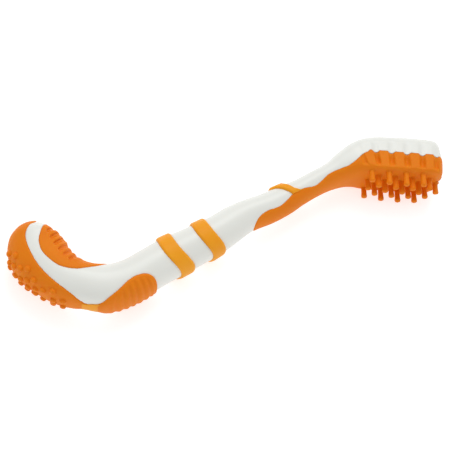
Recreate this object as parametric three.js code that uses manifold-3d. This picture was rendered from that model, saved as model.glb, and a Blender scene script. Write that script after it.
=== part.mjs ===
// Two-ended pet toothbrush, lying on its side.
// Millimetres, +Z up.  X runs from the hooked massager end to the nose of the brush head,
// Y runs from the peg side to the back of the head, and Z is the thickness of the brush.
// The brush is the same on both sides of its middle plane, which is parallel to XY.
import * as THREE from 'three';
import { mergeVertices } from 'three/addons/utils/BufferGeometryUtils.js';
import Module from 'manifold-3d';

const wasm = await Module();
wasm.setup();

// ---------------------------------------------------------------- driving dimensions

const HALF_WIDTH = 12.5;        // the head's flat sides are this far from the middle plane
const GAP = 0.3;                // clearance between a soft piece and the seat it lies in
const RING_SIDES = 20;          // facets around the body
const RINGS = 52;               // sections along the body
const FAR = 60;                 // further out than any part of the brush
const MIDDLE_X = 4.06;          // middle of the whole brush, in the frame of the centre line below
const MIDDLE_Y = 2.65;

// Centre line of the whole body: [x, y, half depth, half width, back squareness, peg-side squareness].
// A squareness of 2 is an ellipse, and more is boxier.
const STATIONS = [
  [-89.7, -6.4, 7.2, 9.5, 2.2, 2.2],
  [-90.1, -12.8, 11.1, 11.5, 2.2, 2.2],
  [-89.2, -19.7, 13.6, 12, 2.2, 2.2],
  [-86.2, -25.5, 13.7, 12.2, 2.2, 2.2],
  [-80.4, -30.8, 12.4, 12.2, 2.2, 2.2],
  [-73.5, -35, 11.4, 12.2, 2.2, 2.2],
  [-64.5, -37.1, 10.3, 12.2, 2.2, 2.2],
  [-54.7, -37.2, 10.6, 12, 2.2, 2.2],
  [-44.9, -33.2, 10.1, 11.8, 2.2, 2.2],
  [-35.2, -26.2, 9.9, 11.4, 2.1, 2.1],
  [-26.2, -19.8, 10.2, 11, 2, 2],
  [-17.8, -14.6, 9.8, 10.8, 2, 2],
  [-9.6, -9.4, 9.4, 10.6, 2, 2],
  [-2, -3.9, 8.9, 10.2, 2, 2],
  [4.2, 1.3, 8.5, 9.6, 2, 2],
  [11.8, 6.4, 7.7, 9.2, 2, 2],
  [20.9, 10.9, 7.5, 8.8, 2, 2],
  [29, 15.9, 7.2, 8.2, 2, 2],
  [37, 21.3, 6.2, 7.8, 2, 2],
  [45.2, 27, 5.9, 8.2, 2, 2.1],
  [53.1, 32, 6.1, 9.4, 2.1, 2.3],
  [60.8, 37.1, 8, 11.2, 2.4, 3],
  [68, 40.6, 9.9, 12.6, 2.8, 5],
  [76, 42.4, 10.6, 12.9, 3, 8],
  [90, 42.9, 10.9, 12.9, 3, 8],
  [101.5, 42.9, 10.9, 12.9, 3, 8],
  [111.2, 42.5, 10.5, 12.9, 3, 8],
];
const TIP_ROUNDING = 9.2;       // length of the rounded hook tip
const NOSE_ROUNDING = 9;        // length of the rounded nose of the head
const NOSE_SQUARENESS = 2.4;
const NOSE_DROP = 0.3;          // how much shallower the head is at its very nose
const NOSE_LEAN = 3.2;          // how far the back of the nose leans away

// Brush head
const BED_Y = 32;               // face that the pegs stand on
const SPLIT_Y = 42;             // where the soft surround meets the rigid back
const STEP_Y = 34;              // lower end of the flutes
const BUMPER_WALL = 3.2;
const HEAD_START = 60;          // x where the neck sleeve ends and the surround begins
const PEG_PITCH = 8.8;
const PEG_ROW = 4.4;
const PEG_LENGTH = 7.2;         // of the longest, in the middle of the head
const PEG_CROWN = 1.3;          // how much shorter the end pegs are
const PEG_RADIUS = 1.35;
const PEG_TIP_RADIUS = 1.6;
const PEG_FOOT_RADIUS = 2.05;
const FIRST_PEG_X = 72.7;
const FLUTE_PITCH = 8;
const FIRST_LOBE_X = 62.4;
const LOBE_WIDTH = 4.3;
const FLUTE_DEPTH = 2.2;
const BACK_FLUTE_DEPTH = 0.8;
const BACK_FLUTE_TOP = 47;

// Soft pieces: how far they stand above the body and how deep they are seated
const SEAT = 1.8;
const BAND_PROUD = 1;
const BAND_HALF_LENGTH = 3.9;
const REAR_BAND = [-25.3, -19.5];
const FRONT_BAND = [-9.4, -9.6];
const HANDLE_ANGLE = Math.atan2(0.57, 0.82);
const HEEL_PROUD = 0.8;
const SOLE_PROUD = 0.4;
const PAD_PROUD = 0.4;
const SLEEVE_PROUD = 0.3;
const STRAP_PROUD = 1.1;
const BRIDGE_PROUD = 0.2;
const BRIDGE_START = -62.4;     // between the sole and the heel grip
const BRIDGE_END = -58.7;
const BRIDGE_TOP = -43;
const BRIDGE_HALF_WIDTH = 2.4;

// Slots in the pad: parallel cuts whose planes lie along one direction
const SLOT_WAY = [0.6, 0.8];
const SLOT_PITCH = 3.46;
const SLOTS = 6;
const FIRST_SLOT = 58.6;        // how far the first slot's plane is from the origin
const SLOT_REACH = 10.6;        // half length
const SLOT_WIDTH = 1.7;
const SLOT_DEPTH = 0.8;

// Rows of nubs on the sole: way along the body and angle round it of the first nub, then of the
// last nub, and their number. Every nub off the middle has a twin on the other side.
const NUB_ROWS = [
  [0.084, 0.41, 0.0955, 0.7, 2],
  [0.095, 0.2, 0.127, 0.79, 4],
  [0.1135, 0, 0.146, 0.56, 4],
  [0.139, 0, 0.185, 0.57, 4],
  [0.188, 0.1, 0.2015, 0.24, 2],
];
const NUB_RADIUS = 1.4;
const NUB_HEIGHT = 1.2;

// ---------------------------------------------------------------- solids and meshes

function solidOf(geometry) {
  const bare = geometry.index ? geometry.toNonIndexed() : geometry;
  bare.deleteAttribute('normal');
  bare.deleteAttribute('uv');
  const merged = mergeVertices(bare, 1e-4);
  return new wasm.Manifold(new wasm.Mesh({
    numProp: 3,
    vertProperties: new Float32Array(merged.attributes.position.array),
    triVerts: new Uint32Array(merged.index.array),
  }));
}

function geometryOf(solid) {
  const mesh = solid.getMesh();
  const geometry = new THREE.BufferGeometry();
  geometry.setAttribute('position', new THREE.BufferAttribute(new Float32Array(mesh.vertProperties), 3));
  geometry.setIndex(new THREE.BufferAttribute(new Uint32Array(mesh.triVerts), 1));
  return geometry;
}

// ---------------------------------------------------------------- body surface

const line = new THREE.CatmullRomCurve3(
  STATIONS.map(([x, y, depth]) => new THREE.Vector3(x, y, depth)), false, 'catmullrom', 0.5);
const section = new THREE.CatmullRomCurve3(
  STATIONS.map(([, , , width, back, front]) => new THREE.Vector3(width, back, front)), false, 'catmullrom', 0.5);

// Place along the body at parameter t: centre, direction and section
function bodyAt(t) {
  const here = line.getPoint(t);
  const ahead = line.getPoint(Math.min(t + 1e-3, 1));
  const behind = line.getPoint(Math.max(t - 1e-3, 0));
  const along = new THREE.Vector2(ahead.x - behind.x, ahead.y - behind.y).normalize();
  const shape = section.getPoint(t);
  return { x: here.x, y: here.y, depth: here.z, along, width: shape.x, back: shape.y, front: shape.z };
}

// A ring of points around the body, grown outwards by offset
function ringAt(t, offset) {
  const place = bodyAt(t);
  const first = STATIONS[0];
  const fromTip = Math.hypot(place.x - first[0], place.y - first[1]);
  const tip = fromTip < TIP_ROUNDING ? Math.sqrt(1 - (1 - fromTip / TIP_ROUNDING) ** 2) : 1;
  const noseX = STATIONS[STATIONS.length - 1][0];
  const toNose = Math.max(0, 1 - (noseX - place.x) / NOSE_ROUNDING);
  const plan = (1 - toNose ** NOSE_SQUARENESS) ** (1 / NOSE_SQUARENESS);
  const side = 1 - NOSE_DROP * toNose ** 5;
  const least = 0.2;            // the end rings keep this half size
  const depth = Math.max(place.depth * tip * side + offset, least);
  const width = Math.max(place.width * tip * plan + offset, least);
  const points = [];
  for (let i = 0; i < RING_SIDES; i++) {
    const angle = 2 * Math.PI * i / RING_SIDES;
    const power = 2 / (Math.cos(angle) > 0 ? place.back : place.front);
    const up = Math.sign(Math.cos(angle)) * Math.abs(Math.cos(angle)) ** power * depth;
    const out = Math.sign(Math.sin(angle)) * Math.abs(Math.sin(angle)) ** power * width;
    const lean = NOSE_LEAN * toNose ** 3 * Math.max(Math.cos(angle), 0);
    points.push(new THREE.Vector3(
      place.x - place.along.y * up - place.along.x * lean,
      place.y + place.along.x * up - place.along.y * lean,
      out,
    ));
  }
  return points;
}

// Closed skin through all the rings, with the end rings closed by a fan
function bodySkin(offset) {
  const rings = [];
  for (let i = 0; i <= RINGS; i++) {
    const even = i / RINGS;
    // rings crowd together at both rounded ends
    const t = even - Math.sin(2 * Math.PI * even) / (2 * Math.PI) * 0.55;
    const ends = Math.min(Math.max(t, 0.0006), 0.9994);
    rings.push(ringAt(ends, offset));
  }
  const positions = rings.flat().flatMap((p) => [p.x, p.y, p.z]);
  const index = [];
  const at = (ring, side) => ring * RING_SIDES + side % RING_SIDES;
  for (let i = 0; i < RINGS; i++) {
    for (let j = 0; j < RING_SIDES; j++) {
      index.push(at(i, j), at(i + 1, j + 1), at(i + 1, j));
      index.push(at(i, j), at(i, j + 1), at(i + 1, j + 1));
    }
  }
  for (const [ring, flip] of [[0, false], [RINGS, true]]) {
    const middle = new THREE.Vector3();
    rings[ring].forEach((p) => middle.addScaledVector(p, 1 / RING_SIDES));
    const centre = positions.length / 3;
    positions.push(middle.x, middle.y, middle.z);
    for (let j = 0; j < RING_SIDES; j++) {
      if (flip) index.push(centre, at(ring, j), at(ring, j + 1));
      else index.push(centre, at(ring, j + 1), at(ring, j));
    }
  }
  const geometry = new THREE.BufferGeometry();
  geometry.setAttribute('position', new THREE.Float32BufferAttribute(positions, 3));
  geometry.setIndex(index);
  return solidOf(geometry);
}

// ---------------------------------------------------------------- zones

// Prism through the whole thickness of the brush, from an outline seen from the side
function sideZone(points, halfThickness = FAR / 2) {
  const shape = new THREE.Shape(points.map(([x, y]) => new THREE.Vector2(x, y)));
  const geometry = new THREE.ExtrudeGeometry(shape, { depth: 2 * halfThickness, bevelEnabled: false });
  geometry.translate(0, 0, -halfThickness);
  return solidOf(geometry);
}

// Smooth line through a few points, as an outline edge
function smooth(points, steps) {
  const curve = new THREE.SplineCurve(points.map(([x, y]) => new THREE.Vector2(x, y)));
  return curve.getPoints(steps).map((p) => [p.x, p.y]);
}

function block(x0, x1, y0, y1, z0, z1) {
  const geometry = new THREE.BoxGeometry(x1 - x0, y1 - y0, z1 - z0);
  geometry.translate((x0 + x1) / 2, (y0 + y1) / 2, (z0 + z1) / 2);
  return solidOf(geometry);
}

// Head outline seen from the peg side, drawn in by inset, as an upright prism.
// The wall in front of it is thinner at the nose, because the last peg stands close to the edge.
function headPlan(inset, y0, y1) {
  const noseX = STATIONS[STATIONS.length - 1][0] - 0.4 * inset;
  const half = HALF_WIDTH - inset;
  const start = HEAD_START + GAP;
  const round = NOSE_ROUNDING + 2;
  const edge = [[start, half - 2.2], [start + 7, half]];
  for (let i = 0; i <= 6; i++) {
    const angle = Math.PI / 2 * i / 6;
    edge.push([noseX - round + round * Math.sin(angle) ** 0.83, half * Math.cos(angle) ** 0.83]);
  }
  edge.pop();
  const outline = [...edge, [noseX, 0], ...edge.map(([x, z]) => [x, -z]).reverse()];
  const shape = new THREE.Shape(outline.map(([x, z]) => new THREE.Vector2(x, -z)));
  const geometry = new THREE.ExtrudeGeometry(shape, { depth: y1 - y0, bevelEnabled: false });
  geometry.rotateX(-Math.PI / 2);
  geometry.translate(0, y0, 0);
  return solidOf(geometry);
}

const SOLE_EDGE = [[-90.2, -3], [-90.7, -9.4], [-93, -12], [-94.3, -18.2], [-91.4, -25.8], [-86.2, -33.4],
  [-78.3, -40.2], [-69.3, -45.4], [-66, -46.7], [-62.2, -47.5]];
const PAD_EDGE = [[-85.2, -4], [-86.6, -10.5], [-87.6, -15.5], [-88, -20.4], [-86.2, -25.6], [-82.4, -29.5],
  [-77.1, -32.8], [-70.2, -33.7], [-64.4, -32.2], [-59, -29.9], [-54, -26]];
const HEEL_EDGE = [[-58.9, -47.6], [-55.5, -46.5], [-49.9, -42.2], [-44.8, -36.8], [-40.3, -34], [-36.6, -33.5],
  [-34, -35], [-32, -39]];
const SLEEVE_EDGE = [[13.2, -4.2], [15.4, 1.6], [19.5, 5.5], [26, 8.9], [29.8, 12.6], [33.4, 16.9],
  [38, 19.7], [43.6, 21.9], [47.2, 24.8], [51, 28.6], [56.5, 31.4], [61, 33.4], [65, 36.6],
  [67.4, 39.2], [70.2, 40.8], [76, SPLIT_Y]];
const STRAP_EDGE = [[21.6, 18.9], [21.4, 26], [28.5, 26], [28.6, 22], [30.1, 21.2], [33.1, 19.2], [36.2, 18.6],
  [34.6, 17], [32.3, 15.7], [29.3, 17.2], [27.4, 18.1], [24.2, 19.2]];

const soleOutline = [...smooth(SOLE_EDGE, 20), [-62.2, -70], [-125, -70], [-125, 0]];
const padOutline = [...smooth(PAD_EDGE, 20), [-50, -10], [-70, 0]];
const heelOutline = [...smooth(HEEL_EDGE, 20), [-32, -60], [-58.9, -60]];
const softHeadOutline = [...smooth(SLEEVE_EDGE, 32), [125, SPLIT_Y], [125, 10], [55, 10], [25, -12]];

// Band outline: a strip across the handle that leans back to the hook at its middle
function bandOutline([cx, cy], grow) {
  const edges = [[], []];
  for (let i = 0; i <= 8; i++) {
    const across = -16 + 4 * i;
    const lean = -0.8 + 0.03 * (across + 1.5) ** 2;
    [-1, 1].forEach((side, k) => {
      const along = lean + side * (BAND_HALF_LENGTH + grow);
      edges[k].push([
        cx + along * Math.cos(HANDLE_ANGLE) + across * Math.sin(HANDLE_ANGLE),
        cy + along * Math.sin(HANDLE_ANGLE) - across * Math.cos(HANDLE_ANGLE),
      ]);
    });
  }
  return [...edges[0], ...edges[1].reverse()];
}

// ---------------------------------------------------------------- soft pieces

const sides = block(-2 * FAR, 2 * FAR, -FAR, FAR, -HALF_WIDTH, HALF_WIDTH);
const skin = bodySkin(0).intersect(sides);
const floorOfSeats = bodySkin(-SEAT);
const belowSeats = bodySkin(-SEAT - GAP);

// A layer of soft material over the body, inside one zone
function softLayer(zone, proud) {
  return bodySkin(proud).intersect(zone).intersect(sides).subtract(floorOfSeats);
}

// Zone drawn in by the gap, so that a soft piece is clear of the walls of its seat
function drawnIn(outline) {
  const corners = outline.map(([x, y]) => new THREE.Vector2(x, y));
  const inward = Math.sign(THREE.ShapeUtils.area(corners)) * GAP;
  const count = corners.length;
  return sideZone(corners.map((corner, i) => {
    const before = corners[(i + count - 1) % count];
    const after = corners[(i + 1) % count];
    const along = after.clone().sub(corner).normalize().add(corner.clone().sub(before).normalize()).normalize();
    return [corner.x - along.y * inward, corner.y + along.x * inward];
  }));
}

// A small domed stud with its base sunk below the surface
function stud(radius, height, sunk) {
  const profile = [[0, -sunk], [radius, -sunk], [radius * 0.8, height * 0.8], [0, height]];
  return new THREE.LatheGeometry(profile.map(([x, y]) => new THREE.Vector2(x, y)), 6);
}

// Point and outward direction on the outer side of the hook, at t along the body and an angle round it
function onSole(t, angle) {
  const place = bodyAt(t);
  const reach = (Math.cos(angle) ** place.front + Math.abs(Math.sin(angle)) ** place.front) ** (-1 / place.front);
  const away = new THREE.Vector3(place.along.y, -place.along.x, 0);
  const sideways = new THREE.Vector3(0, 0, 1);
  const point = new THREE.Vector3(place.x, place.y, 0)
    .addScaledVector(away, reach * Math.cos(angle) * (place.depth + SOLE_PROUD))
    .addScaledVector(sideways, reach * Math.sin(angle) * (place.width + SOLE_PROUD));
  const outward = away.multiplyScalar(Math.cos(angle)).addScaledVector(sideways, Math.sin(angle));
  return { point, outward };
}

function nubPlaces() {
  const places = [];
  for (const [t0, angle0, t1, angle1, count] of NUB_ROWS) {
    for (let i = 0; i < count; i++) {
      const share = i / (count - 1);
      const t = t0 + (t1 - t0) * share;
      const angle = angle0 + (angle1 - angle0) * share;
      places.push([t, angle]);
      if (angle > 0) places.push([t, -angle]);
    }
  }
  return places;
}

function soleMassager() {
  let solid = softLayer(drawnIn(soleOutline), SOLE_PROUD);
  for (const [t, angle] of nubPlaces()) {
    const { point, outward } = onSole(t, angle);
    const geometry = stud(NUB_RADIUS, NUB_HEIGHT, 1);
    geometry.applyQuaternion(new THREE.Quaternion().setFromUnitVectors(new THREE.Vector3(0, 1, 0), outward));
    geometry.translate(point.x, point.y, point.z);
    solid = solid.add(solidOf(geometry));
  }
  return solid;
}

// Six short slots run across the pad
function gumPad() {
  const slotFloor = bodySkin(PAD_PROUD - SLOT_DEPTH);
  let solid = softLayer(drawnIn(padOutline), PAD_PROUD);
  for (let i = 0; i < SLOTS; i++) {
    const beside = i * SLOT_PITCH - FIRST_SLOT;
    const slot = new THREE.BoxGeometry(SLOT_WIDTH, 4 * FAR, 2 * SLOT_REACH);
    slot.translate(beside, 0, 0);
    slot.rotateZ(Math.atan2(-SLOT_WAY[0], SLOT_WAY[1]));
    solid = solid.subtract(solidOf(slot).subtract(slotFloor));
  }
  return solid;
}

function heelGrip() {
  return softLayer(drawnIn(heelOutline), HEEL_PROUD);
}

// Thin web that joins the sole to the heel grip along the underside
function soleBridge() {
  const reach = BRIDGE_HALF_WIDTH - GAP;
  const zone = block(BRIDGE_START + GAP, BRIDGE_END - GAP, -FAR, BRIDGE_TOP, -reach, reach);
  return bodySkin(BRIDGE_PROUD).intersect(zone).subtract(floorOfSeats);
}

function band(origin) {
  return softLayer(sideZone(bandOutline(origin, -GAP)), BAND_PROUD);
}

// The strap is an arch over the back of the neck, leaning towards the handle
function neckStrap() {
  return bodySkin(STRAP_PROUD).intersect(drawnIn(STRAP_EDGE)).subtract(floorOfSeats)
    .subtract(sideZone(softHeadOutline));
}

function neckSleeve() {
  const zone = drawnIn(softHeadOutline);
  const upToHead = block(0, HEAD_START, -30, 60, -FAR / 2, FAR / 2);
  return bodySkin(SLEEVE_PROUD).intersect(zone).intersect(upToHead).subtract(floorOfSeats);
}

// ---------------------------------------------------------------- brush head

// Upright groove cutters down both side walls, between the lobes
function flutes(depth, y0, y1, count) {
  let solid = null;
  for (let i = 0; i < count; i++) {
    const middle = FIRST_LOBE_X + FLUTE_PITCH * (i + 0.5);
    const half = (FLUTE_PITCH - LOBE_WIDTH) / 2;
    for (const side of [-1, 1]) {
      const outline = [[middle - half, 14], [middle - half, HALF_WIDTH], [middle - half + 0.8, HALF_WIDTH - depth],
        [middle + half - 0.8, HALF_WIDTH - depth], [middle + half, HALF_WIDTH], [middle + half, 14]];
      const shape = new THREE.Shape(outline.map(([x, z]) => new THREE.Vector2(x, -side * z)));
      const geometry = new THREE.ExtrudeGeometry(shape, { depth: y1 - y0, bevelEnabled: false });
      geometry.rotateX(-Math.PI / 2);
      geometry.translate(0, y0, 0);
      const cutter = solidOf(geometry);
      solid = solid ? solid.add(cutter) : cutter;
    }
  }
  return solid;
}

// Fluted wall around both sides and the nose of the head
function headBumper() {
  return skin.intersect(drawnIn(softHeadOutline))
    .intersect(block(HEAD_START + GAP, FAR * 2, STEP_Y + GAP, FAR, -FAR / 2, FAR / 2))
    .subtract(headPlan(BUMPER_WALL, 0, FAR))
    .subtract(flutes(FLUTE_DEPTH, STEP_Y, SPLIT_Y + 2, 5));
}

function peg(x, z) {
  const fromMiddle = (x - FIRST_PEG_X) / (2 * PEG_PITCH) - 1;
  const tip = PEG_CROWN * fromMiddle ** 2 - PEG_LENGTH;
  const profile = [[0, tip], [PEG_TIP_RADIUS - 0.5, tip], [PEG_TIP_RADIUS, tip + 0.5], [PEG_TIP_RADIUS, tip + 1],
    [PEG_RADIUS, tip + 2.5], [PEG_RADIUS, -1.2], [PEG_FOOT_RADIUS, 0.5], [0, 0.5]];
  const geometry = new THREE.LatheGeometry(profile.map(([r, y]) => new THREE.Vector2(r, y)), 8);
  geometry.translate(x, BED_Y, z);
  return solidOf(geometry);
}

// The bed closes the head on the peg side. Its pegs stand in five staggered rows of 4 or 5.
function bristleBed() {
  let solid = skin.intersect(drawnIn(softHeadOutline))
    .intersect(block(HEAD_START + GAP, FAR * 2, 0, STEP_Y, -FAR / 2, FAR / 2));
  for (const row of [-2, -1, 0, 1, 2]) {
    const odd = Math.abs(row) === 1;
    const count = row === 0 ? 5 : 4;
    for (let i = 0; i < count; i++) {
      solid = solid.add(peg(FIRST_PEG_X + PEG_PITCH * (i + (odd ? 0.5 : 0)), row * PEG_ROW));
    }
  }
  return solid;
}

// ---------------------------------------------------------------- rigid body

function seat(zone) {
  return zone.subtract(belowSeats);
}

function handleBody() {
  const headCore = headPlan(BUMPER_WALL + GAP, STEP_Y + GAP, SPLIT_Y + 6).intersect(skin);
  const neckCore = belowSeats.intersect(block(5, HEAD_START, -FAR, FAR, -FAR / 2, FAR / 2));
  let solid = skin
    .subtract(seat(sideZone(soleOutline)))
    .subtract(seat(sideZone(padOutline)))
    .subtract(seat(sideZone(heelOutline)))
    .subtract(seat(block(BRIDGE_START, BRIDGE_END, -FAR, BRIDGE_TOP, -BRIDGE_HALF_WIDTH, BRIDGE_HALF_WIDTH)))
    .subtract(seat(sideZone(bandOutline(REAR_BAND, 0))))
    .subtract(seat(sideZone(bandOutline(FRONT_BAND, 0))))
    .subtract(seat(sideZone(STRAP_EDGE)))
    .subtract(sideZone(softHeadOutline));
  solid = solid.add(neckCore).add(headCore);
  return solid.subtract(flutes(BACK_FLUTE_DEPTH, SPLIT_Y - 1, BACK_FLUTE_TOP, 5));
}

// ---------------------------------------------------------------- assembly

const soft = { color: 0xe0780f, roughness: 0.55, metalness: 0 };
const amber = { color: 0xeb9e1e, roughness: 0.5, metalness: 0 };
const rigid = { color: 0xf0f1ec, roughness: 0.35, metalness: 0 };

const pieces = [
  ['handle_body', handleBody, rigid],
  ['gum_pad', gumPad, soft],
  ['sole_massager', soleMassager, soft],
  ['sole_bridge', soleBridge, amber],
  ['heel_grip', heelGrip, soft],
  ['rear_band', () => band(REAR_BAND), amber],
  ['front_band', () => band(FRONT_BAND), amber],
  ['neck_sleeve', neckSleeve, soft],
  ['neck_strap', neckStrap, amber],
  ['head_bumper', headBumper, soft],
  ['bristle_bed', bristleBed, soft],
];

const toothbrush = new THREE.Group();
for (const [name, make, look] of pieces) {
  const mesh = new THREE.Mesh(geometryOf(make()), new THREE.MeshStandardMaterial(look));
  mesh.name = name;
  toothbrush.add(mesh);
}

// The origin is below the middle of the brush, on the surface that it lies on
toothbrush.position.set(-MIDDLE_X, -MIDDLE_Y, HALF_WIDTH);

export default toothbrush;
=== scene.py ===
from math import atan2, cos, pi, radians, sin

import bmesh
import bpy
import numpy as np
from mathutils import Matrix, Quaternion, Vector


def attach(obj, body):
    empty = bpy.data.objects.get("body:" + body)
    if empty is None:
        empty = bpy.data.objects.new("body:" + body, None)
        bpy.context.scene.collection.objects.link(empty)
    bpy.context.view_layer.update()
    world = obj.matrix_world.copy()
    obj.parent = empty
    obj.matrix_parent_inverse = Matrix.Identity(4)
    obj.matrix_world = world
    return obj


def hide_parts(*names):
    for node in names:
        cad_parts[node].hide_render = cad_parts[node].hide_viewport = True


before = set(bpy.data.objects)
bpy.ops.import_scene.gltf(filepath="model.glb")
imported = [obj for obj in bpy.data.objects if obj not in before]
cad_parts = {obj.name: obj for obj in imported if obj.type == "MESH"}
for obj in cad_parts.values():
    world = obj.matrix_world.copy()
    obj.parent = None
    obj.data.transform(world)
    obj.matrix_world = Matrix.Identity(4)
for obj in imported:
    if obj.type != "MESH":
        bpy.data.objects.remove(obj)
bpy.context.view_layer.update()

# ---------------------------------------------------------------- driving dimensions, mm

MM = 0.001
HALF_WIDTH = 12.5               # the head's flat sides are this far from the middle plane
TO_FRAME = np.array([-4.06, -2.65, HALF_WIDTH])

# Centre line of the whole body: x, y, half depth, half width, back squareness, peg-side squareness.
# A squareness of 2 is an ellipse, and more is boxier.
STATIONS = np.array([
    [-89.7, -6.4, 7.2, 9.5, 2.2, 2.2],
    [-90.1, -12.8, 11.1, 11.5, 2.2, 2.2],
    [-89.2, -19.7, 13.6, 12, 2.2, 2.2],
    [-86.2, -25.5, 13.7, 12.2, 2.2, 2.2],
    [-80.4, -30.8, 12.4, 12.2, 2.2, 2.2],
    [-73.5, -35, 11.4, 12.2, 2.2, 2.2],
    [-64.5, -37.1, 10.3, 12.2, 2.2, 2.2],
    [-54.7, -37.2, 10.6, 12, 2.2, 2.2],
    [-44.9, -33.2, 10.1, 11.8, 2.2, 2.2],
    [-35.2, -26.2, 9.9, 11.4, 2.1, 2.1],
    [-26.2, -19.8, 10.2, 11, 2, 2],
    [-17.8, -14.6, 9.8, 10.8, 2, 2],
    [-9.6, -9.4, 9.4, 10.6, 2, 2],
    [-2, -3.9, 8.9, 10.2, 2, 2],
    [4.2, 1.3, 8.5, 9.6, 2, 2],
    [11.8, 6.4, 7.7, 9.2, 2, 2],
    [20.9, 10.9, 7.5, 8.8, 2, 2],
    [29, 15.9, 7.2, 8.2, 2, 2],
    [37, 21.3, 6.2, 7.8, 2, 2],
    [45.2, 27, 5.9, 8.2, 2, 2.1],
    [53.1, 32, 6.1, 9.4, 2.1, 2.3],
    [60.8, 37.1, 8, 11.2, 2.4, 3],
    [68, 40.6, 9.9, 12.6, 2.8, 5],
    [76, 42.4, 10.6, 12.9, 3, 8],
    [90, 42.9, 10.9, 12.9, 3, 8],
    [101.5, 42.9, 10.9, 12.9, 3, 8],
    [111.2, 42.5, 10.5, 12.9, 3, 8],
])
TIP_ROUNDING = 9.2              # length of the rounded hook tip
NOSE_ROUNDING = 9               # length of the rounded nose of the head
NOSE_SQUARENESS = 2.4
NOSE_DROP = 0.3                 # how much shallower the head is at its very nose
NOSE_LEAN = 3.2                 # how far the back of the nose leans away
TIP_SHARE = 0.053               # shares of the centre line that the two roundings take
NOSE_SHARE = 0.034

# Brush head
BED_Y = 32                      # face that the pegs stand on
SPLIT_Y = 42                    # where the soft surround meets the rigid back
STEP_Y = 34                     # lower end of the flutes
PEG_PITCH = 8.8
PEG_ROW = 4.4
PEG_LENGTH = 7.5                # of the longest, in the middle of the head
PEG_CROWN = 1.3                 # how much shorter the end pegs are
PEG_FOOT_RADIUS = 2.1
PEG_SUNK = 0.5                  # how far a peg goes on below the face
FIRST_PEG_X = 72.7
FLUTE_PITCH = 8
FIRST_LOBE_X = 62.4
LOBE_WIDTH = 4.3
LOBES = 6                       # along one side
FLUTE_DEPTH = 2.2
SHALLOWER = 0.6                 # share of their depth that the flutes lose on the way up
BACK_FLUTE_DEPTH = 0.45
BACK_FLUTE_TOP = 51             # the shallow flutes of the white back fade out at this height
SCALLOP = 1.1                   # dip of the soft edge in each flute
CORNER_LENGTH = 18.2            # way round the nose from the flat side to the middle
HEAD_LINE_START = 0.852         # share of the centre line that the head's level soft edge starts at

# Soft pieces
SEAT = 1.8                      # depth that they are seated at
HEAD_SEAT = 3.4
DEEPENS = (0.79, 0.83)          # shares of the centre line between which the seat deepens
SEAT_WALL = 0.12                # width taken by the wall of a seat
SEAT_GAP = 0.2                  # gap left between a soft piece and the floor of its seat
SOLE_PROUD = 0.4                # height of the sole above the body, which the nubs stand on

# For each soft piece: shares of the centre line between which it lies, rings and sides of its
# grid, height above the body, and radius of its rounded edge
LAYERS = {
    "sole_massager": (0.002, 0.27, 170, 160, SOLE_PROUD, 0.8),
    "gum_pad": (0.005, 0.28, 190, 180, 0.4, 0.8),
    "heel_grip": (0.2, 0.42, 230, 150, 0.9, 1.1),
    "rear_band": (0.33, 0.46, 110, 140, 1.05, 1.2),
    "front_band": (0.38, 0.54, 130, 140, 1.05, 1.2),
    "neck_strap": (0.56, 0.74, 150, 140, 1.2, 1.1),
    "sole_bridge": (0.2, 0.3, 120, 140, 0.45, 0.12),
    "soft_head": (0.52, 1, 420, 170, 0.3, 0.7),
}

# Bands, across the handle and leaning back to the hook at their middle
HANDLE_ANGLE = atan2(0.57, 0.82)    # slope of the handle
REAR_BAND = (-25.6, -19.6)
FRONT_BAND = (-9.7, -9.7)
BAND_HALF_LENGTH = 3.9
BAND_REACH = 16                 # how far a band's outline runs across the handle, each way
BAND_SET_BACK = 0.8             # how far towards the hook its curve reaches
BAND_BOW = 0.03                 # how sharply it curves, in mm for each square mm across
BAND_BOW_MIDDLE = -1.5          # where across the handle it is nearest the hook

# Ribs of the heel grip
RIB_PITCH = 2.75
RIB_HEIGHT = 0.5

# Slots in the pad: parallel cuts whose planes lie along one direction
SLOT_WAY = (0.6, 0.8)
SLOT_PITCH = 3.46
SLOTS = 6
FIRST_SLOT = 58.6               # how far the first slot's plane is from the origin
SLOT_REACH = 10.6               # half length
SLOT_WIDTH = 2.4
SLOT_MIDDLE_DEPTH = 0.35        # depth of a slot in the middle of the pad
SLOT_END_DEPTH = 1.2
SLOT_RIM = 0.15                 # height of the rims beside a slot

# Rows of nubs on the sole: way along the body and angle round it of the first nub, then of the
# last nub, and their number. Every nub off the middle has a twin on the other side.
NUB_ROWS = [
    (0.084, 0.41, 0.0955, 0.7, 2),
    (0.095, 0.2, 0.127, 0.79, 4),
    (0.1135, 0, 0.146, 0.56, 4),
    (0.139, 0, 0.185, 0.57, 4),
    (0.188, 0.1, 0.2015, 0.24, 2),
]
NUB_RADIUS = 1.75
NUB_HEIGHT = 1.35
NUB_SUNK = 0.8                  # how far a nub goes on below the surface

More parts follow.
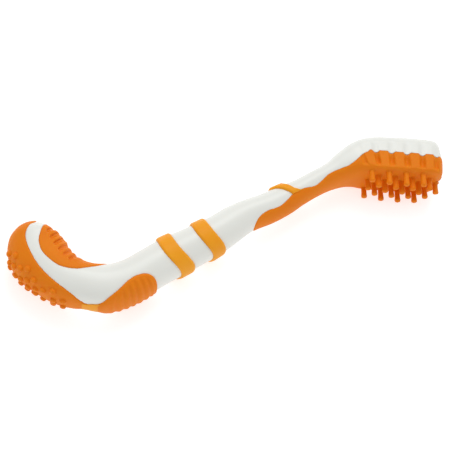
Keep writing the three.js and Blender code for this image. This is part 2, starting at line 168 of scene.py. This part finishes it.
# Outlines seen from the side
SOLE_EDGE = [(-90.2, -3), (-90.7, -9.4), (-93, -12), (-94.3, -18.2), (-91.4, -25.8), (-86.2, -33.4),
             (-78.3, -40.2), (-69.3, -45.4), (-66, -46.7), (-62.2, -47.5)]
PAD_EDGE = [(-85.2, -4), (-86.6, -10.5), (-87.6, -15.5), (-88, -20.4), (-86.2, -25.6), (-82.4, -29.5),
            (-77.1, -32.8), (-70.2, -33.7), (-64.4, -32.2), (-59, -29.9), (-54, -26)]
HEEL_EDGE = [(-58.9, -47.6), (-55.5, -46.5), (-49.9, -42.2), (-44.8, -36.8), (-40.3, -34),
             (-36, -33.2), (-32.4, -34.8), (-30.6, -38.6)]
SLEEVE_EDGE = [(13.2, -4.2), (15.4, 1.6), (19.5, 5.5), (26, 8.9), (29.8, 12.6), (33.4, 16.9),
               (38, 19.7), (43.6, 21.9), (47.2, 24.8), (51, 28.6), (56.5, 31.4), (61, 33.4),
               (65, 36.6), (67.4, 39.2), (70.2, 40.8)]
STRAP_EDGE = [(21.6, 18.9), (21.4, 26), (28.5, 26), (28.6, 22), (30.1, 21.2), (33.1, 19.2), (36.4, 18.8),
              (39.2, 19.9), (36, 18), (33.4, 16.4), (32.3, 15.7), (31.2, 16.4), (29.3, 17.2),
              (27.4, 18.1), (24.2, 19.2)]
BRIDGE_EDGE = [(-66, -47.05), (-63.5, -47.32), (-60, -47.5), (-57.5, -47.5), (-57.5, -60),
               (-66, -60)]

# Studio: where the camera stands, its lens and its roll in degrees, then the lights and the table
CAMERA_STAND = (-51.25, -231.14, 463.59)
CAMERA_LENS = 85
CAMERA_ROLL = 15.2
SKY_STRENGTH = 0.7
KEY_PLACE = (0.1, 0.8, 1.2)     # metres
KEY_SIZE = 0.9                  # metres
KEY_POWER = 7                   # watts
TABLE_REACH = 3                 # metres


# ---------------------------------------------------------------- body surface

def through(points, t):
    """Smooth line through the points, at t from 0 to 1."""
    points = np.asarray(points, float)
    ends = [2 * points[0] - points[1]], [2 * points[-1] - points[-2]]
    padded = np.vstack([ends[0], points, ends[1]])
    way = np.clip(t, 0, 1) * (len(points) - 1)
    span = np.minimum(way.astype(int), len(points) - 2)
    w = (way - span)[..., None]
    a, b, c, d = (padded[span + k] for k in range(4))
    return 0.5 * (2 * b + (c - a) * w + (2 * a - 5 * b + 4 * c - d) * w ** 2
                  + (3 * b - a - 3 * c + d) * w ** 3)


def direction(t):
    """Unit direction of the centre line, as its x and y."""
    step = 1e-3
    way = through(STATIONS[:, :2], t + step) - through(STATIONS[:, :2], t - step)
    return way / np.linalg.norm(way, axis=-1, keepdims=True)


def nose_share(t):
    """0 up to the rounded nose, rising to 1 at its end."""
    x = through(STATIONS[:, :1], t)[..., 0]
    return np.clip(1 - (STATIONS[-1, 0] - x) / NOSE_ROUNDING, 0, 1)


def nose_plan(to_nose):
    return (1 - to_nose ** NOSE_SQUARENESS) ** (1 / NOSE_SQUARENESS)


def skin(t, turn, grow=0.0):
    """Points of the body's skin, grown outwards. turn is 0 at the back and pi on the peg side."""
    x, y, depth, width, back, front = np.moveaxis(through(STATIONS, t), -1, 0)
    along = direction(t)
    from_tip = np.hypot(x - STATIONS[0, 0], y - STATIONS[0, 1])
    short = 1 - np.clip(from_tip / TIP_ROUNDING, 0, 1)
    tip = np.sqrt(1 - short ** 2)
    to_nose = nose_share(t)
    power = np.where(np.cos(turn) > 0, back, front)
    reach = (np.abs(np.cos(turn)) ** power + np.abs(np.sin(turn)) ** power) ** (-1 / power)
    up = reach * np.cos(turn) * (depth + grow) * tip * (1 - NOSE_DROP * to_nose ** 5)
    out = reach * np.sin(turn) * (width + grow) * tip * nose_plan(to_nose)
    limit = HALF_WIDTH + np.minimum(grow, 0)
    out = np.clip(out, -limit, limit)
    slide = grow * (to_nose ** 3 - short ** 3) - NOSE_LEAN * to_nose ** 3 * np.maximum(np.cos(turn), 0)
    middle = np.stack([x, y], -1) + along * slide[..., None]
    return np.stack([middle[..., 0] - along[..., 1] * up, middle[..., 1] + along[..., 0] * up, out], -1)


def facing(t, turn):
    """Outward direction of the skin."""
    step = 1e-3
    round_way = skin(t, turn + step) - skin(t, turn - step)
    long_way = skin(t + step, turn) - skin(t - step, turn)
    away = np.cross(long_way, round_way)
    away *= np.sign(np.sum(away * (skin(t, turn, 1.0) - skin(t, turn)), -1, keepdims=True))
    return away / np.linalg.norm(away, axis=-1, keepdims=True)


def skin_grid(t0, t1, rings, sides):
    """Triangles over a stretch of the skin. Each vertex is a place on it: t and turn."""
    even = np.linspace(t0, t1, rings + 1)
    tip = np.clip(even / TIP_SHARE, 0, 1)
    even = np.where(tip < 1, TIP_SHARE * (1 - np.cos(pi / 2 * tip)), even)
    nose = np.clip((1 - even) / NOSE_SHARE, 0, 1)
    even = np.where(nose < 1, 1 - NOSE_SHARE * (1 - np.cos(pi / 2 * nose)), even)
    turn = 2 * pi * np.arange(sides) / sides
    place = np.stack(np.meshgrid(even, turn, indexing="ij"), -1).reshape(-1, 2)
    ring, side = np.meshgrid(np.arange(rings), np.arange(sides), indexing="ij")
    a = (ring * sides + side).ravel()
    b = (ring * sides + (side + 1) % sides).ravel()
    c, d = a + sides, b + sides
    return place, np.vstack([np.stack([a, b, d], 1), np.stack([a, d, c], 1)])


# ---------------------------------------------------------------- outlines and cuts

def smooth(points, steps):
    return [tuple(p) for p in through(points, np.linspace(0, 1, steps + 1))]


def depth_inside(outline, x, y):
    """Distance from each point to the outline, positive inside it."""
    corners = np.array(outline, float)
    nearest = np.full(x.shape, 1e9)
    inside = np.zeros(x.shape, bool)
    for (ax, ay), (bx, by) in zip(corners, np.roll(corners, -1, 0)):
        ex, ey = bx - ax, by - ay
        along = np.clip(((x - ax) * ex + (y - ay) * ey) / (ex * ex + ey * ey), 0, 1)
        nearest = np.minimum(nearest, np.hypot(x - ax - along * ex, y - ay - along * ey))
        if ey:
            crosses = ((ay > y) != (by > y)) & (x < ax + (y - ay) * ex / ey)
            inside ^= crosses
    return np.where(inside, nearest, -nearest)


def split_at(level, value, place, faces):
    """Cuts every triangle that a level of value runs through."""
    above = (value > level)[faces]
    mixed = above.any(1) & ~above.all(1)
    corners, high = faces[mixed], above[mixed]
    lone = np.where(high.sum(1) == 1, high.argmax(1), (~high).argmax(1))
    order = (lone[:, None] + np.arange(3)) % 3
    a, b, c = np.take_along_axis(corners, order, 1).T
    edges = np.sort(np.vstack([np.stack([a, b], 1), np.stack([a, c], 1)]), axis=1)
    edges, number = np.unique(edges, axis=0, return_inverse=True)
    low, up = edges.T
    share = ((level - value[low]) / (value[up] - value[low]))[:, None]
    way = place[up] - place[low]
    way[:, 1] = (way[:, 1] + pi) % (2 * pi) - pi
    ab, ac = number.reshape(2, -1) + len(place)
    place = np.vstack([place, place[low] + share * way])
    value = np.append(value, np.full(len(edges), float(level)))
    cut = [np.stack(corner, 1) for corner in ((a, ab, ac), (ab, b, c), (ab, c, ac))]
    return value, place, np.vstack([faces[~mixed], *cut])


def patch(outline, t0, t1, rings, sides, edge):
    """The skin inside an outline seen from the side, with extra vertices for a rounded edge."""
    place, faces = skin_grid(t0, t1, rings, sides)
    x, y, _ = skin(place[:, 0], place[:, 1]).T
    value = depth_inside(outline, x, y)
    for angle in (0, 25, 45, 65, 90):
        value, place, faces = split_at(edge * (1 - cos(radians(angle))), value, place, faces)
    faces = faces[(value[faces] >= 0).all(1)]
    used, faces = np.unique(faces, return_inverse=True)
    return place[used], value[used], faces.reshape(-1, 3)


def rounded(inside, proud, edge):
    """Height above the skin: a quarter circle up from the edge, then level."""
    short = 1 - np.clip(inside / edge, 0, 1)
    return proud - edge + edge * np.sqrt(1 - short ** 2)


# ---------------------------------------------------------------- meshes

def new_object(name, points, faces, material):
    """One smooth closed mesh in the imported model's frame, with its faces pointing outwards."""
    mesh = bpy.data.meshes.new(name)
    mesh.from_pydata((points + TO_FRAME) * MM, [], faces)
    work = bmesh.new()
    work.from_mesh(mesh)
    bmesh.ops.remove_doubles(work, verts=work.verts, dist=0.01 * MM)
    bmesh.ops.dissolve_degenerate(work, edges=work.edges, dist=0.002 * MM)
    bmesh.ops.recalc_face_normals(work, faces=work.faces)
    work.to_mesh(mesh)
    work.free()
    mesh.shade_smooth()
    mesh.materials.append(material)
    obj = bpy.data.objects.new(name, mesh)
    bpy.context.scene.collection.objects.link(obj)
    return obj


def shell(name, place, faces, outer, inner, material):
    """Closed layer between two heights above the skin."""
    t, turn = place.T
    points = np.vstack([skin(t, turn, outer), skin(t, turn, inner)])
    edges = np.vstack([faces[:, [0, 1]], faces[:, [1, 2]], faces[:, [2, 0]]])
    _, first, count = np.unique(np.sort(edges, 1), axis=0, return_index=True, return_counts=True)
    a, b = edges[first[count == 1]].T
    below = len(place)
    walls = np.stack([b, a, a + below, b + below], 1)
    everything = faces.tolist() + (faces[:, ::-1] + below).tolist() + walls.tolist()
    return new_object(name, points, everything, material)


# ---------------------------------------------------------------- nodes

def add(tree, kind, links=(), **settings):
    """Adds a node and links its inputs: links is (input, from node, output) rows. inputs holds the
    values of its unlinked inputs, and every other setting is an attribute of the node."""
    node = tree.nodes.new(kind)
    inputs = settings.pop("inputs", {})
    for name, value in settings.items():
        setattr(node, name, value)
    for name, value in inputs.items():
        node.inputs[name].default_value = value
    for name, source, output in links:
        tree.links.new(source.outputs[output], node.inputs[name])
    return node


def colour(hex_value):
    """sRGB hex to linear."""
    parts = [int(hex_value[i:i + 2], 16) / 255 for i in (1, 3, 5)]
    linear = [p / 12.92 if p <= 0.04045 else ((p + 0.055) / 1.055) ** 2.4 for p in parts]
    return (*linear, 1)


def per_metre(size_mm):
    """Noise scale for features of this size on Object coordinates."""
    return 1 / (size_mm * MM)


# ---------------------------------------------------------------- materials

def moulded(name, light, dark, patch_mm, grain_mm, grain_depth, rough, **shader_inputs):
    """Injection-moulded plastic: two close tints in soft patches, and a fine even grain."""
    material = bpy.data.materials.new(name)
    material.use_nodes = True
    tree = material.node_tree
    tree.nodes.clear()
    where = add(tree, "ShaderNodeTexCoord")
    flow = add(tree, "ShaderNodeTexNoise", [("Vector", where, "Object")],
               inputs={"Scale": per_metre(patch_mm), "Detail": 3.0, "Roughness": 0.5})
    tint = add(tree, "ShaderNodeValToRGB", [("Fac", flow, "Fac")])
    tint.color_ramp.elements[0].position = 0.3
    tint.color_ramp.elements[0].color = colour(dark)
    tint.color_ramp.elements[1].position = 0.7
    tint.color_ramp.elements[1].color = colour(light)
    grain = add(tree, "ShaderNodeTexNoise", [("Vector", where, "Object")],
                inputs={"Scale": per_metre(grain_mm), "Detail": 2.0, "Roughness": 0.6})
    shine = add(tree, "ShaderNodeMapRange", [("Value", grain, "Fac")],
                inputs={"From Min": 0.3, "From Max": 0.7, "To Min": rough[0], "To Max": rough[1]})
    bump = add(tree, "ShaderNodeBump", [("Height", grain, "Fac")],
               inputs={"Strength": 0.35, "Distance": grain_depth * MM})
    shader = add(tree, "ShaderNodeBsdfPrincipled",
                 [("Base Color", tint, "Color"), ("Roughness", shine, "Result"), ("Normal", bump, "Normal")],
                 inputs=shader_inputs)
    add(tree, "ShaderNodeOutputMaterial", [("Surface", shader, "BSDF")])
    return material


def soft_orange():
    """Thermoplastic elastomer, overmoulded: matt and a little see-through, so its shadows glow redder."""
    return moulded("moulded_tpe_orange", "#EA8206", "#E57B02", 22, 0.7, 0.03, (0.55, 0.65), **{
        "IOR": 1.49,
        "Specular IOR Level": 0.2,
        "Subsurface Weight": 0.15,
        "Subsurface Radius": (1.0, 0.25, 0.05),
        "Subsurface Scale": 1.5 * MM,
    })


def soft_amber():
    """The same elastomer as a thin layer over white, which shows through and makes it yellower."""
    return moulded("thin_tpe_amber", "#F2A21C", "#EE9A12", 16, 0.7, 0.02, (0.46, 0.56), **{
        "IOR": 1.49,
        "Specular IOR Level": 0.22,
        "Subsurface Weight": 0.15,
        "Subsurface Radius": (1.0, 0.5, 0.1),
        "Subsurface Scale": 1.2 * MM,
    })


def rigid_white():
    """Polypropylene from a satin mould: clean warm white with a soft broad shine."""
    return moulded("satin_polypropylene_white", "#E9EAE4", "#E5E6E0", 40, 0.5, 0.01, (0.34, 0.42), **{
        "IOR": 1.49,
        "Subsurface Weight": 0.1,
        "Subsurface Radius": (1.0, 0.9, 0.8),
        "Subsurface Scale": 1.5 * MM,
    })


def bright_table():
    """Back-lit acrylic table: plain, matt and evenly bright, so that nothing on it casts a hard shadow."""
    return moulded("backlit_acrylic_table", "#C9C9C9", "#C6C6C6", 300, 4, 0.02, (0.85, 0.95), **{
        "IOR": 1.49,
        "Specular IOR Level": 0.1,
        "Emission Color": (1, 1, 1, 1),
        "Emission Strength": 0.65,
    })


# ---------------------------------------------------------------- head flutes

def way_round(t):
    """Way along the head's side, which goes on round the nose."""
    x = through(STATIONS[:, :1], t)[..., 0]
    to_nose = nose_share(t)
    corner = np.arctan2(to_nose, nose_plan(to_nose)) / (pi / 2) * CORNER_LENGTH
    return np.where(to_nose > 0, STATIONS[-1, 0] - NOSE_ROUNDING + corner, x)


def groove(t):
    """1 in the middle of a flute and 0 on the flat of a lobe."""
    way = way_round(t)
    last_lobe = FIRST_LOBE_X + (LOBES - 1) * FLUTE_PITCH
    end = STATIONS[-1, 0] - NOSE_ROUNDING + CORNER_LENGTH
    pitch = np.where(way < last_lobe, FLUTE_PITCH, (end - last_lobe) / 2)
    start = np.where(way < last_lobe, FIRST_LOBE_X, last_lobe)
    from_lobe = np.abs((way - start + pitch / 2) % pitch - pitch / 2)
    half = (pitch - LOBE_WIDTH) / 2
    from_middle = (pitch / 2 - from_lobe) / half
    shape = np.clip(1 - from_middle ** 2, 0, 1) ** 0.9
    return shape * ramp(way, FIRST_LOBE_X, FIRST_LOBE_X + FLUTE_PITCH)


def ramp(value, start, end):
    share = np.clip((value - start) / (end - start), 0, 1)
    return share * share * (3 - 2 * share)


# ---------------------------------------------------------------- outlines of the soft pieces

def soft_head_outline():
    """Sleeve and head surround seen from the side, with a dip in its upper edge at each flute."""
    t = np.linspace(HEAD_LINE_START, 1, 220)
    x = through(STATIONS[:, :1], t)[:, 0]
    top = np.stack([x, SPLIT_Y - SCALLOP * groove(t)], 1)[x > SLEEVE_EDGE[-1][0] + 1]
    return [*smooth(SLEEVE_EDGE, 90), *map(tuple, top), (125, SPLIT_Y), (125, 10), (55, 10), (25, -12)]


def band_outline(middle):
    """A strip across the handle that leans back to the hook at its middle."""
    edges = [], []
    for across in np.linspace(-BAND_REACH, BAND_REACH, 17):
        lean = BAND_BOW * (across - BAND_BOW_MIDDLE) ** 2 - BAND_SET_BACK
        for edge, side in zip(edges, (-1, 1)):
            along = lean + side * BAND_HALF_LENGTH
            edge.append((middle[0] + along * cos(HANDLE_ANGLE) + across * sin(HANDLE_ANGLE),
                         middle[1] + along * sin(HANDLE_ANGLE) - across * cos(HANDLE_ANGLE)))
    return edges[0] + edges[1][::-1]


OUTLINES = {
    "sole_massager": smooth(SOLE_EDGE, 60) + [(-62.2, -70), (-125, -70), (-125, 0)],
    "gum_pad": smooth(PAD_EDGE, 60) + [(-50, -10), (-70, 0)],
    "heel_grip": smooth(HEEL_EDGE, 60) + [(-30.6, -60), (-58.9, -60)],
    "rear_band": band_outline(REAR_BAND),
    "front_band": band_outline(FRONT_BAND),
    "neck_strap": STRAP_EDGE,
    "sole_bridge": BRIDGE_EDGE,
    "soft_head": soft_head_outline(),
}


# ---------------------------------------------------------------- pieces

def white_body(material):
    """The whole skin, sunk under each soft piece and faintly fluted on the back of the head."""
    place, faces = skin_grid(0, 1, 470, 110)
    place = np.column_stack([place, np.zeros(len(place))])
    for name, outline in OUTLINES.items():
        x, y, _ = skin(place[:, 0], place[:, 1]).T
        value = depth_inside(outline, x, y)
        for level in (0, SEAT_WALL):
            value, place, faces = split_at(level, value, place, faces)
        head = ramp(place[:, 0], *DEEPENS) if name == "soft_head" else 0
        deep = SEAT + SEAT_GAP + (HEAD_SEAT - SEAT) * head
        place[:, 2] = np.where(value >= SEAT_WALL, deep, place[:, 2])
    t, turn, sunk = place.T
    height = skin(t, turn)[:, 1]
    fade = ramp(height, BACK_FLUTE_TOP, SPLIT_Y) * (height > STEP_Y)
    flute = np.where(sunk > 0, 0, BACK_FLUTE_DEPTH * groove(t) * fade)
    return new_object("white_body", skin(t, turn, -sunk - flute), faces.tolist(), material)


def layer(name):
    """A soft piece's patch of skin, how far inside its outline each vertex is, and its height."""
    start, end, rings, sides, proud, edge = LAYERS[name]
    place, inside, faces = patch(OUTLINES[name], start, end, rings, sides, edge)
    return place, inside, faces, rounded(inside, proud, edge)


def plain_layer(name, material):
    place, _, faces, outer = layer(name)
    return shell(name, place, faces, outer, -SEAT, material)


def gum_pad(material):
    """Pad inside the hook, with rounded slots across it that are deepest at their ends."""
    place, _, faces, outer = layer("gum_pad")
    t, turn = place.T
    x, y, z = skin(t, turn).T
    beside = FIRST_SLOT + x * SLOT_WAY[1] - y * SLOT_WAY[0]
    nearest = np.clip(np.round(beside / SLOT_PITCH), 0, SLOTS - 1) * SLOT_PITCH
    beyond = np.maximum(np.abs(z) - SLOT_REACH, 0) * 2
    away = np.hypot(beside - nearest, beyond) / (SLOT_WIDTH / 2)
    to_end = ramp(np.abs(z), 3, SLOT_REACH - 1)
    depth = SLOT_MIDDLE_DEPTH + (SLOT_END_DEPTH - SLOT_MIDDLE_DEPTH) * to_end
    outer -= depth * (1 - ramp(away, 0.35, 1))
    outer += SLOT_RIM * ramp(away, 1, 1.7) * (away < 2.6) * (np.abs(z) < SLOT_REACH)
    return shell("gum_pad", place, faces, outer, -SEAT, material)


def heel_grip(material):
    """Grip with ribs across it and a smooth rim."""
    place, inside, faces, outer = layer("heel_grip")
    along = np.array([cos(HANDLE_ANGLE), sin(HANDLE_ANGLE)])
    way = through(STATIONS[:, :2], place[:, 0]) @ along
    rib = 0.5 + 0.5 * np.cos(2 * pi * way / RIB_PITCH)
    outer += RIB_HEIGHT * (rib - 0.6) * ramp(inside, 1.0, 2.4)
    return shell("heel_grip", place, faces, outer, -SEAT, material)


def soft_head(material):
    """Sleeve under the neck and fluted surround of the head, moulded in one."""
    place, _, faces, outer = layer("soft_head")
    t, turn = place.T
    height = skin(t, turn)[:, 1]
    fluted = groove(t) * ramp(height, STEP_Y - 0.9, STEP_Y + 0.5)
    fluted *= 1 - SHALLOWER * ramp(height, STEP_Y + 2, SPLIT_Y)
    outer -= FLUTE_DEPTH * fluted
    inner = -SEAT - (HEAD_SEAT - SEAT) * ramp(t, *DEEPENS)
    return shell("soft_head", place, faces, outer, inner, material)


# ---------------------------------------------------------------- studs

def stud_tree(name, profile):
    """Stands a turned stud on every point, along the point's facing."""
    tree = bpy.data.node_groups.new(name, "GeometryNodeTree")
    face = tree.interface
    face.new_socket("Points", in_out="INPUT", socket_type="NodeSocketGeometry")
    for size in ("Radius", "Height", "Sunk"):
        face.new_socket(size, in_out="INPUT", socket_type="NodeSocketFloat")
    face.new_socket("Finish", in_out="INPUT", socket_type="NodeSocketMaterial")
    face.new_socket("Studs", in_out="OUTPUT", socket_type="NodeSocketGeometry")
    given = add(tree, "NodeGroupInput")
    grid = {"Vertices": 24, "Side Segments": 16, "Fill Segments": 3, "Radius": 1.0, "Depth": 1.0}
    blank = add(tree, "GeometryNodeMeshCylinder", inputs=grid)
    place = add(tree, "GeometryNodeInputPosition")
    parts = add(tree, "ShaderNodeSeparateXYZ", [("Vector", place, "Position")])
    share = add(tree, "ShaderNodeMath", [(0, parts, "Z")], operation="ADD", inputs={1: 0.5})
    outline = add(tree, "ShaderNodeFloatCurve", [("Value", share, "Value")])
    curve = outline.mapping.curves[0]
    for _ in range(len(profile) - 2):
        curve.points.new(0.5, 0.5)
    for point, (along, radius) in zip(curve.points, profile):
        point.location = (along, radius)
    outline.mapping.update()
    wide = add(tree, "ShaderNodeMath", [(0, outline, "Value"), (1, given, "Radius")], operation="MULTIPLY")
    whole = add(tree, "ShaderNodeMath", [(0, given, "Height"), (1, given, "Sunk")], operation="ADD")
    rise = add(tree, "ShaderNodeMath", [(0, share, "Value"), (1, whole, "Value")], operation="MULTIPLY")
    level = add(tree, "ShaderNodeMath", [(0, rise, "Value"), (1, given, "Sunk")], operation="SUBTRACT")
    x = add(tree, "ShaderNodeMath", [(0, parts, "X"), (1, wide, "Value")], operation="MULTIPLY")
    y = add(tree, "ShaderNodeMath", [(0, parts, "Y"), (1, wide, "Value")], operation="MULTIPLY")
    moved = add(tree, "ShaderNodeCombineXYZ", [("X", x, "Value"), ("Y", y, "Value"), ("Z", level, "Value")])
    turned = add(tree, "GeometryNodeSetPosition",
                 [("Geometry", blank, "Mesh"), ("Position", moved, "Vector")])
    smooth_stud = add(tree, "GeometryNodeSetShadeSmooth", [("Geometry", turned, "Geometry")])
    facing_way = add(tree, "GeometryNodeInputNamedAttribute", data_type="FLOAT_VECTOR",
                     inputs={"Name": "facing"})
    stretch = add(tree, "GeometryNodeInputNamedAttribute", data_type="FLOAT_VECTOR",
                  inputs={"Name": "stretch"})
    stand = add(tree, "FunctionNodeAlignRotationToVector", [("Vector", facing_way, "Attribute")], axis="Z")
    field = add(tree, "GeometryNodeInstanceOnPoints",
                [("Points", given, "Points"), ("Instance", smooth_stud, "Geometry"),
                 ("Rotation", stand, "Rotation"), ("Scale", stretch, "Attribute")])
    real = add(tree, "GeometryNodeRealizeInstances", [("Geometry", field, "Instances")])
    finished = add(tree, "GeometryNodeSetMaterial",
                   [("Geometry", real, "Geometry"), ("Material", given, "Finish")])
    add(tree, "NodeGroupOutput", [("Studs", finished, "Geometry")])
    return tree


def stud_field(name, tree, points, away, share, sizes, material):
    """Mesh of studs at the points, each along its outward direction and with its share of the height."""
    mesh = bpy.data.meshes.new(name)
    mesh.from_pydata((np.array(points) + TO_FRAME) * MM, [], [])
    stretch = np.column_stack([np.ones((len(points), 2)), share])
    for label, vectors in (("facing", np.array(away, float)), ("stretch", stretch)):
        mesh.attributes.new(label, "FLOAT_VECTOR", "POINT")
        mesh.attributes[label].data.foreach_set("vector", vectors.ravel())
    obj = bpy.data.objects.new(name, mesh)
    bpy.context.scene.collection.objects.link(obj)
    modifier = obj.modifiers.new(name, "NODES")
    modifier.node_group = tree
    values = {size: value * MM for size, value in sizes.items()}
    values["Finish"] = material
    for socket in tree.interface.items_tree:
        if socket.in_out == "INPUT" and socket.name in values:
            modifier[socket.identifier] = values[socket.name]
    ready = obj.evaluated_get(bpy.context.evaluated_depsgraph_get())
    plain = bpy.data.meshes.new_from_object(ready)
    obj.modifiers.clear()
    obj.data = plain
    return obj


def pegs(material):
    """Massaging pegs in five staggered rows of 4 or 5, with a filleted foot and a flared tip."""
    points = []
    for row in range(-2, 3):
        shift = 0.5 if abs(row) == 1 else 0
        for i in range(5 if row == 0 else 4):
            points.append((FIRST_PEG_X + PEG_PITCH * (i + shift), BED_Y, row * PEG_ROW))
    profile = [(0, 1), (0.05, 0.84), (0.12, 0.7), (0.25, 0.64), (0.6, 0.65), (0.8, 0.7), (0.88, 0.72),
               (0.94, 0.66), (0.98, 0.5), (1, 0.25)]
    tree = stud_tree("peg", profile)
    x = np.array(points)[:, 0]
    from_middle = (x - x.mean()) / (2 * PEG_PITCH)
    share = 1 - PEG_CROWN / PEG_LENGTH * from_middle ** 2
    sizes = {"Radius": PEG_FOOT_RADIUS, "Height": PEG_LENGTH, "Sunk": PEG_SUNK}
    return stud_field("pegs", tree, points, [(0, -1, 0)] * len(points), share, sizes, material)


def nubs(material):
    """Domed nubs in rows that slant away from the middle of the sole, the same on both sides."""
    places = []
    for t0, angle0, t1, angle1, count in NUB_ROWS:
        for t, angle in zip(np.linspace(t0, t1, count), np.linspace(angle0, angle1, count)):
            places += [(t, side * angle) for side in ((-1, 1) if angle else (1,))]
    t, angle = np.array(places).T
    turn = pi - angle
    profile = [(0, 1), (0.25, 0.95), (0.5, 0.85), (0.7, 0.8), (0.86, 0.66), (0.95, 0.48), (1, 0.28)]
    tree = stud_tree("nub", profile)
    sizes = {"Radius": NUB_RADIUS, "Height": NUB_HEIGHT, "Sunk": NUB_SUNK}
    points = skin(t, turn, SOLE_PROUD)
    return stud_field("nubs", tree, points, facing(t, turn), np.ones(len(t)), sizes, material)


# ---------------------------------------------------------------- assembly

def place_piece(piece, slot, *nodes):
    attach(piece, "root")
    if nodes:
        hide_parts(*nodes)


orange = soft_orange()
amber = soft_amber()
white = rigid_white()

place_piece(white_body(white), "rigid_white", "handle_body")
place_piece(gum_pad(orange), "soft_orange", "gum_pad")
place_piece(plain_layer("sole_massager", orange), "soft_orange", "sole_massager")
place_piece(nubs(orange), "soft_orange")
place_piece(heel_grip(orange), "soft_orange", "heel_grip")
place_piece(soft_head(orange), "soft_orange", "neck_sleeve", "head_bumper")
place_piece(pegs(orange), "soft_orange", "bristle_bed")
for name in ("sole_bridge", "rear_band", "front_band", "neck_strap"):
    place_piece(plain_layer(name, amber), "soft_amber", name)


# ---------------------------------------------------------------- studio

def add_floor():
    mesh = bpy.data.meshes.new("floor")
    corners = [(x * TABLE_REACH, y * TABLE_REACH, 0) for x, y in ((-1, -1), (1, -1), (1, 1), (-1, 1))]
    mesh.from_pydata(corners, [], [(0, 1, 2, 3)])
    mesh.materials.append(bright_table())
    floor = bpy.data.objects.new("floor", mesh)
    bpy.context.scene.collection.objects.link(floor)


def add_softbox(name, place, size, power):
    data = bpy.data.lights.new(name, "AREA")
    data.shape = "DISK"
    data.size = size
    data.energy = power
    lamp = bpy.data.objects.new(name, data)
    lamp.location = place
    lamp.rotation_mode = "QUATERNION"
    lamp.rotation_quaternion = (-Vector(place)).to_track_quat("-Z", "Y")
    bpy.context.scene.collection.objects.link(lamp)


def add_sky(strength):
    world = bpy.data.worlds.new("studio")
    world.use_nodes = True
    back = world.node_tree.nodes["Background"]
    back.inputs["Color"].default_value = (1, 1, 1, 1)
    back.inputs["Strength"].default_value = strength
    bpy.context.scene.world = world


def add_camera():
    data = bpy.data.cameras.new("camera")
    data.lens = CAMERA_LENS
    data.sensor_width = 36
    data.clip_start = 0.01
    camera = bpy.data.objects.new("camera", data)
    stand = Vector((np.array(CAMERA_STAND) + TO_FRAME) * MM)
    target = Vector(TO_FRAME * MM)
    roll = Quaternion((0, 0, 1), radians(CAMERA_ROLL))
    camera.location = stand
    camera.rotation_mode = "QUATERNION"
    camera.rotation_quaternion = (target - stand).to_track_quat("-Z", "Y") @ roll
    bpy.context.scene.collection.objects.link(camera)
    bpy.context.scene.camera = camera


add_floor()
add_sky(SKY_STRENGTH)
add_softbox("key", KEY_PLACE, KEY_SIZE, KEY_POWER)
add_camera()
bpy.context.scene.view_settings.view_transform = "Standard"
bpy.context.scene.view_settings.look = "None"
